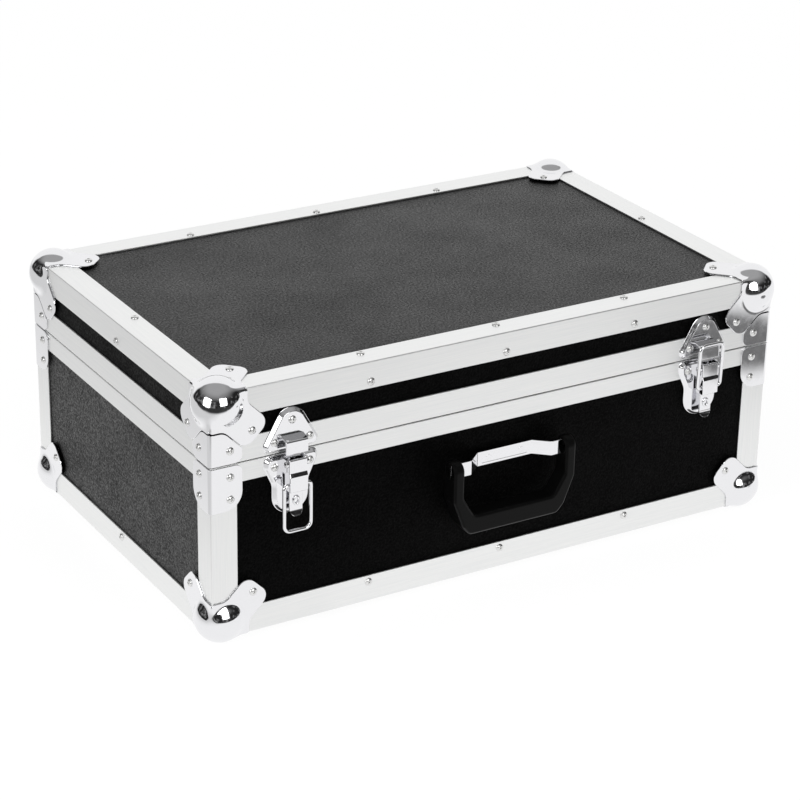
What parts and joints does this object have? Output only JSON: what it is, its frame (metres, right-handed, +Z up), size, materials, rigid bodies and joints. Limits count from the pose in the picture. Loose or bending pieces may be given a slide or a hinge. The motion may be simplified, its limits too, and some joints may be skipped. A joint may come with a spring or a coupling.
{
  "type": "guitar pedal case",
  "caption": "Rigid carrying case with a hinged lid, toggle latches, a folding side handle, metal edge profiles, ball corners and a foam lining.",
  "frame": {"origin": "middle of the whole object's box at the height of the ball corners' undersides", "axes": "+X to the right along the front, +Y from the front to the hinged back, +Z up"},
  "size_m": [0.525, 0.3474, 0.217],
  "materials": {
    "plywood_laminate": "black laminate with a fine grain over plywood",
    "extrusion": "brushed, natural anodised",
    "corner_steel": "bright plated pressed steel",
    "rivet": "bright",
    "foam": "open-cell foam, matt",
    "pin_steel": "bright",
    "hinge_steel": "bright zinc plate",
    "strap_steel": "bright plated",
    "grip_plastic": "moulded, fine satin",
    "wire": "bright plated",
    "latch_steel": "bright plated pressed steel"
  },
  "bodies": {
    "tray": {"bottom_panel": "plywood_laminate", "front_panel": "plywood_laminate", "back_panel": "plywood_laminate", "left_panel": "plywood_laminate", "right_panel": "plywood_laminate", "bottom_edge_front": "extrusion", "bottom_edge_back": "extrusion", "bottom_edge_left": "extrusion", "bottom_edge_right": "extrusion", "post_front_left": "extrusion", "post_front_right": "extrusion", "post_back_left": "extrusion", "post_back_right": "extrusion", "base_rim_front": "extrusion", "base_rim_back": "extrusion", "base_rim_left": "extrusion", "base_rim_right": "extrusion", "base_ball_front_left": "corner_steel", "base_ball_front_right": "corner_steel", "base_ball_back_left": "corner_steel", "base_ball_back_right": "corner_steel", "base_braces": "corner_steel", "base_rivets": "rivet", "floor_foam": "foam", "wall_foam": "foam", "hinge_base_leaves": "hinge_steel", "hinge_pins": "pin_steel", "handle_bracket": "strap_steel", "handle_rivets": "rivet", "left_latch_plate": "latch_steel", "right_latch_plate": "latch_steel", "lever_pins": "pin_steel"},
    "lid": {"lid_top_panel": "plywood_laminate", "lid_front_panel": "plywood_laminate", "lid_back_panel": "plywood_laminate", "lid_left_panel": "plywood_laminate", "lid_right_panel": "plywood_laminate", "lid_edge_front": "extrusion", "lid_edge_back": "extrusion", "lid_edge_left": "extrusion", "lid_edge_right": "extrusion", "lid_rim_front": "extrusion", "lid_rim_back": "extrusion", "lid_rim_left": "extrusion", "lid_rim_right": "extrusion", "lid_ball_front_left": "corner_steel", "lid_ball_front_right": "corner_steel", "lid_ball_back_left": "corner_steel", "lid_ball_back_right": "corner_steel", "lid_braces": "corner_steel", "lid_rivets": "rivet", "lid_foam": "foam", "hinge_lid_leaves": "hinge_steel", "left_catch": "latch_steel", "right_catch": "latch_steel"},
    "left_lever": {"left_lever": "latch_steel"},
    "left_bail": {"left_bail": "wire"},
    "right_lever": {"right_lever": "latch_steel"},
    "right_bail": {"right_bail": "wire"},
    "grip": {"handle_grip": "grip_plastic"}
  },
  "joints": [
    {"name": "lid_hinge", "type": "hinge", "parent": "tray", "child": "lid", "pos_m": [0, 0.16937, 0.151], "axis": [-1, 0, 0], "range_deg": [0, 100]},
    {"name": "left_lever_pivot", "type": "hinge", "parent": "tray", "child": "left_lever", "pos_m": [-0.1885, -0.16282, 0.146], "axis": [-1, 0, 0], "range_deg": [0, 100]},
    {"name": "left_bail_pivot", "type": "hinge", "parent": "left_lever", "child": "left_bail", "pos_m": [-0.1885, -0.16532, 0.1288], "axis": [-1, 0, 0], "range_deg": [-8, 110]},
    {"name": "right_lever_pivot", "type": "hinge", "parent": "tray", "child": "right_lever", "pos_m": [0.1885, -0.16282, 0.146], "axis": [-1, 0, 0], "range_deg": [0, 100]},
    {"name": "right_bail_pivot", "type": "hinge", "parent": "right_lever", "child": "right_bail", "pos_m": [0.1885, -0.16532, 0.1288], "axis": [-1, 0, 0], "range_deg": [-100, 0]},
    {"name": "handle_swing", "type": "hinge", "parent": "tray", "child": "grip", "pos_m": [0, -0.16548, 0.108], "axis": [-1, 0, 0], "range_deg": [0, 100]}
  ],
  "couplings": [
    {"joint": "right_bail_pivot", "follows": "right_lever_pivot", "ratio": -1}
  ]
}
